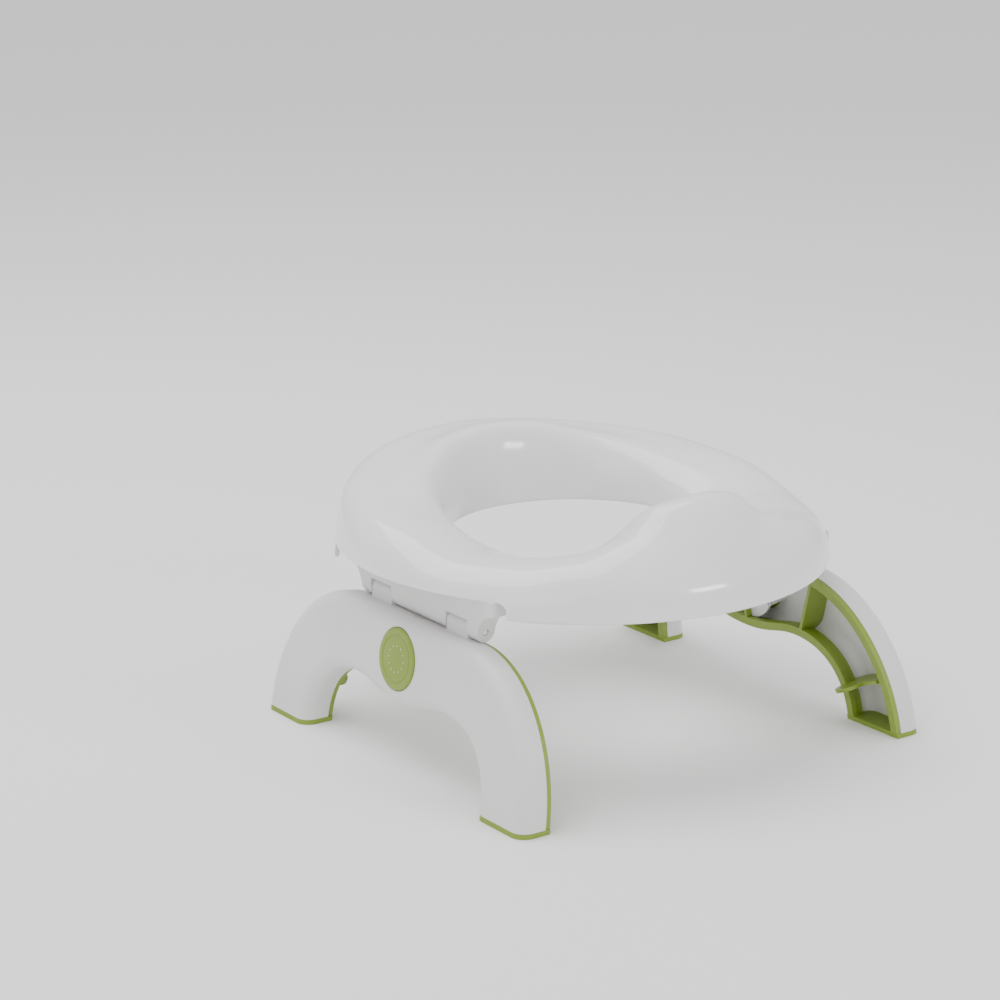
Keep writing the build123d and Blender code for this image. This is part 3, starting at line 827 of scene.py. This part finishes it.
    def notch_cutter(self, sign: int) -> bpy.types.Object:
        """Build the block that cuts the skirt over one hinge.

        Args:
            sign: -1 for the left side, 1 for the right.

        Returns:
            The cutting block.
        """
        floor = self.skirt_bottom - 10 * MM
        outline = [(-self.notch_half, floor)]
        for side, first in ((-1, math.pi), (1, math.pi / 2)):
            centre = side * (self.notch_half - self.notch_fillet)
            for i in range(9):
                t = first - i * math.pi / 16
                outline.append((
                    centre + self.notch_fillet * math.cos(t),
                    self.notch_top - self.notch_fillet + self.notch_fillet * math.sin(t),
                ))
        outline.append((self.notch_half, floor))
        near, far = self.notch_bottom_x, self.half_x + 10 * MM
        points = [(sign * x, self.notch_centre_y + y, z) for x in (near, far) for y, z in outline]
        count = len(outline)
        faces = [tuple(range(count)), tuple(range(2 * count - 1, count - 1, -1))]
        faces += [(i, (i + 1) % count, count + (i + 1) % count, count + i) for i in range(count)]
        cutter = new_object("notch_cutter", points, faces)
        face_outwards(cutter)
        return cutter

    def build(self, nodes: dict[str, bpy.types.Object]) -> None:
        """Build and dress everything that belongs to the seat.

        Args:
            nodes: the frame's pieces by name.
        """
        ring = self.ring()
        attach(ring, "seat")
        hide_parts("seat_shell")
        LOG.info("seat_ring: %d faces", len(ring.data.polygons))
        dress(nodes["seat_base"], self.paint.satin_white)


def smooth_curve(points: np.ndarray, count: int) -> np.ndarray:
    """A natural cubic curve through points, by the distance between them.

    Args:
        points: the points, one row each.
        count: how many points to return.

    Returns:
        Points along the curve.
    """
    t = np.r_[0, np.cumsum(np.linalg.norm(np.diff(points, axis=0), axis=1))]
    h = np.diff(t)
    n = len(points)
    system = np.eye(n)
    right = np.zeros((n, points.shape[1]))
    for i in range(1, n - 1):
        system[i, i - 1 : i + 2] = h[i - 1], 2 * (h[i - 1] + h[i]), h[i]
        right[i] = 6 * ((points[i + 1] - points[i]) / h[i] - (points[i] - points[i - 1]) / h[i - 1])
    bend = np.linalg.solve(system, right)
    places = np.linspace(0, t[-1], count)
    i = np.clip(np.searchsorted(t, places, side="right") - 1, 0, n - 2)
    a, b, step = (t[i + 1] - places)[:, None], (places - t[i])[:, None], h[i][:, None]
    return (
        bend[i] * a**3 / (6 * step)
        + bend[i + 1] * b**3 / (6 * step)
        + (points[i] / step - bend[i] * step / 6) * a
        + (points[i + 1] / step - bend[i + 1] * step / 6) * b
    )


def dress(piece: bpy.types.Object, material: bpy.types.Material) -> None:
    """Give a frame piece its finish, and leave its mesh alone.

    Args:
        piece: the frame's object.
        material: its finish.
    """
    if piece.material_slots:
        for slot in piece.material_slots:
            slot.material = material
    else:
        piece.data.materials.append(material)


# ------------------------------------------------------------------ leg units
@dataclass
class LegUnit:
    """One leg unit with its release button, spring and hinge pieces."""

    side: Side
    paint: Paintbox
    hinge: Vector
    inward: Vector
    button_height: float = 66 * MM
    button_depths: tuple[float, float] = (12.9 * MM, 18.2 * MM)
    spring_low: float = 3.05 * MM
    spring_high: float = 16.15 * MM
    spring_radius: float = 7 * MM
    spring_turns: float = 5.5
    wire_radius: float = 0.45 * MM
    marks: int = 12

    def place(self) -> Matrix:
        """The button's frame: its centre on the leg's inner plane, with Z out through the button."""
        out = -self.inward.normalized()
        up = Vector((0, 0, 1)) - out * out.z
        up.normalize()
        along = up.cross(out)
        centre = self.hinge + up * ((self.button_height - self.hinge.z) / up.z)
        turn = Matrix((along, up, out)).transposed().to_4x4()
        return Matrix.Translation(centre) @ turn

    def put(self, piece: bpy.types.Object, body: str, node: str | None) -> None:
        """Set a piece drawn in the button's frame in place, and join it to its body.

        Args:
            piece: the piece.
            body: the body that it moves with, without its side.
            node: the frame's piece that it stands for, without its side.
        """
        piece.data.transform(self.place())
        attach(piece, f"{self.side.value}_{body}")
        if node:
            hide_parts(f"{self.side.value}_{node}")
        LOG.info("%s: %d faces", piece.name, len(piece.data.polygons))

    def button(self) -> bpy.types.Object:
        """Build the round button: a shallow dish with a fine groove, a rounded rim, a flange and a stem."""
        flange, face = self.button_depths
        outline = [(0, face - 0.2 * MM), (13.6 * MM, face - 0.2 * MM)]
        outline += [(14.0 * MM, face - 0.5 * MM), (14.6 * MM, face - 0.5 * MM), (15.0 * MM, face - 0.12 * MM)]
        rim, edge = 19 * MM, 1.6 * MM
        for i in range(9):
            t = math.pi / 2 - i * math.pi / 16
            outline.append((rim - edge + edge * math.cos(t), face - edge + edge * math.sin(t)))
        outline += [(rim, flange + 1.5 * MM), (20.5 * MM, flange + 1.5 * MM), (20.5 * MM, flange)]
        outline += [(17 * MM, flange), (17 * MM, face - 2 * MM), (3.5 * MM, face - 2 * MM)]
        outline += [(3.5 * MM, 4.2 * MM), (0, 4.2 * MM)]
        button = lathe(f"{self.side.value}_button", outline, 128)
        shade_smooth(button)
        button.data.materials.append(self.paint.green)
        return button

    def build(self, nodes: dict[str, bpy.types.Object], trees: dict[str, bpy.types.NodeTree]) -> None:
        """Build and dress the leg unit.

        Args:
            nodes: the frame's pieces by name.
            trees: the geometry trees by name.
        """
        name = self.side.value
        self.put(self.button(), "button", "release_button")
        marks = new_object(f"{name}_button_marks", [(0, 0, 0)], [])
        grow(marks, trees["marks"], Count=self.marks, Ring_Radius=8 * MM, Mark_Radius=0.55 * MM,
             Mark_Height=0.2 * MM, Material=self.paint.mark)
        marks.data.transform(Matrix.Translation((0, 0, self.button_depths[1] - 0.2 * MM)))
        shade_smooth(marks)
        self.put(marks, "button", None)
        spring = new_object(f"{name}_spring", [(0, 0, 0)], [])
        height = self.spring_high - self.spring_low - 2 * self.wire_radius
        grow(spring, trees["coil"], Radius=self.spring_radius, Height=height, Turns=self.spring_turns,
             Wire_Radius=self.wire_radius, Material=self.paint.steel)
        spring.data.transform(Matrix.Translation((0, 0, self.spring_low + self.wire_radius)))
        shade_smooth(spring, 60.0)
        self.put(spring, "leg", "button_spring")
        finishes = {
            Part.SHELL: self.paint.satin_white,
            Part.FRAME: self.paint.green,
            Part.FRONT_PAD: self.paint.grip,
            Part.REAR_PAD: self.paint.grip,
            Part.GUIDE: self.paint.satin_white,
            Part.BOLT: self.paint.acetal,
            Part.HOUSING: self.paint.satin_white,
            Part.PIN: self.paint.steel,
        }
        for part, material in finishes.items():
            dress(nodes[f"{name}_{part.value}"], material)


# ------------------------------------------------------------------ fasteners
@dataclass
class Fasteners:
    """The screws under the seat and behind the buttons."""

    paint: Paintbox
    tree: bpy.types.NodeTree

    def places(self, node: bpy.types.Object) -> list[Vector]:
        """The centre of each screw's box in a frame piece that holds several.

        Args:
            node: the frame's piece.

        Returns:
            One centre for each separate solid.
        """
        work = bmesh.new()
        work.from_mesh(node.data)
        bmesh.ops.remove_doubles(work, verts=work.verts, dist=0.01 * MM)
        left, found = set(work.verts), []
        while left:
            island, edge = set(), [left.pop()]
            while edge:
                vert = edge.pop()
                island.add(vert)
                for e in vert.link_edges:
                    other = e.other_vert(vert)
                    if other in left:
                        left.remove(other)
                        edge.append(other)
            co = np.array([v.co for v in island])
            found.append(Vector((co.min(0) + co.max(0)) / 2))
        work.free()
        return found

    def upright(self, name: str, node: bpy.types.Object, head: float, height: float,
                shank: float, length: float) -> None:
        """Build a set of screws that stand upright with their heads below.

        Args:
            name: the new piece's name.
            node: the frame's screws.
            head: the head's radius.
            height: the head's height.
            shank: the shank's radius.
            length: the shank's length.
        """
        drop = (length - height) / 2
        seats = [c - Vector((0, 0, drop)) for c in self.places(node)]
        screws = new_object(name, seats, [])
        grow(screws, self.tree, Head_Radius=head, Head_Height=height, Shank_Radius=shank, Length=length,
             Material=self.paint.steel)
        shade_smooth(screws, 30.0)
        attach(screws, "seat")
        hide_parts(node.name)
        LOG.info("%s: %d screws, %d faces", name, len(seats), len(screws.data.polygons))

    def build(self, nodes: dict[str, bpy.types.Object]) -> None:
        """Build the seat's screws, and dress the ones behind the buttons.

        Args:
            nodes: the frame's objects, by node name.
        """
        self.upright("base_screws", nodes["seat_screws"], 3.4 * MM, 1.8 * MM, 1.5 * MM, 10 * MM)
        for name in ("housing_screws", "left_guide_screws", "right_guide_screws"):
            dress(nodes[name], self.paint.steel)


# ------------------------------------------------------------------ studio
@dataclass
class Studio:
    """The floor, the lights and the camera."""

    target: Vector
    distance: float = 1.8126
    azimuth: float = -36.2
    elevation: float = 17.2
    lens: float = 104.9
    shift: tuple[float, float] = (-0.0868, 0.0846)

    def camera(self) -> None:
        """Set up the camera."""
        a, e = math.radians(self.azimuth), math.radians(self.elevation)
        back = Vector((math.sin(a) * math.cos(e), -math.cos(a) * math.cos(e), math.sin(e)))
        camera = bpy.data.cameras.new("camera")
        camera.lens, camera.sensor_width = self.lens, 36
        camera.shift_x, camera.shift_y = self.shift
        made = bpy.data.objects.new("camera", camera)
        made.location = self.target + back * self.distance
        made.rotation_euler = (-back).to_track_quat("-Z", "Y").to_euler()
        bpy.context.scene.collection.objects.link(made)
        bpy.context.scene.camera = made

    def soft_light(self, name: str, place: Sequence[float], width: float, height: float, power: float) -> None:
        """Add a soft box that faces the object.

        Args:
            name: the light's name.
            place: where it stands.
            width: its width.
            height: its height.
            power: its power in watts.
        """
        light = bpy.data.lights.new(name, "AREA")
        light.shape, light.size, light.size_y, light.energy = "RECTANGLE", width, height, power
        made = bpy.data.objects.new(name, light)
        made.location = Vector(place)
        made.rotation_euler = (self.target - made.location).to_track_quat("-Z", "Y").to_euler()
        bpy.context.scene.collection.objects.link(made)

    def floor(self) -> None:
        """Lay the pale floor."""
        half = FLOOR_HALF_WIDTH
        floor = new_object("floor", [(-half, -half, 0), (half, -half, 0), (half, half, 0), (-half, half, 0)],
                           [(0, 1, 2, 3)])
        material, shader, _ = plain_material("pale_floor")
        shader.inputs["Base Color"].default_value = FLOOR_COLOUR
        shader.inputs["Roughness"].default_value = FLOOR_ROUGHNESS
        floor.data.materials.append(material)

    def build(self) -> None:
        """Build the whole studio."""
        self.floor()
        self.soft_light("overhead", (-0.3, 0.5, 1.7), 1.6, 1.6, 26)
        self.soft_light("left_fill", (-1.8, -0.9, 0.9), 1.2, 1.2, 5)
        self.soft_light("front_window", (0.55, -1.5, 0.75), 0.5, 0.2, 6)
        world = bpy.data.worlds.new("studio")
        world.use_nodes = True
        world.node_tree.nodes["Background"].inputs["Color"].default_value = WHITE
        world.node_tree.nodes["Background"].inputs["Strength"].default_value = 1.0
        bpy.context.scene.world = world
        self.camera()


def main() -> None:
    """Build the model in order."""
    logging.basicConfig(level=logging.INFO, format="%(name)s: %(message)s")
    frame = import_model()
    nodes = frame["nodes"]
    joints = {joint["name"]: joint for joint in frame["joints"]}
    makers: dict[str, Callable[[], bpy.types.NodeTree]] = {
        "marks": mark_ring_tree, "coil": coil_tree, "screws": screw_tree,
    }
    trees = {name: make() for name, make in makers.items()}
    paint = Paintbox.build()
    Seat(paint).build(nodes)
    for side in Side:
        hinge = Vector(joints[f"{side.value}_leg_hinge"]["pos_m"])
        inward = Vector(joints[f"{side.value}_button_press"]["axis"])
        LegUnit(side, paint, hinge, inward).build(nodes, trees)
    Fasteners(paint, trees["screws"]).build(nodes)
    Studio(target=Vector(CAMERA_TARGET)).build()


if __name__ == "__main__":
    main()
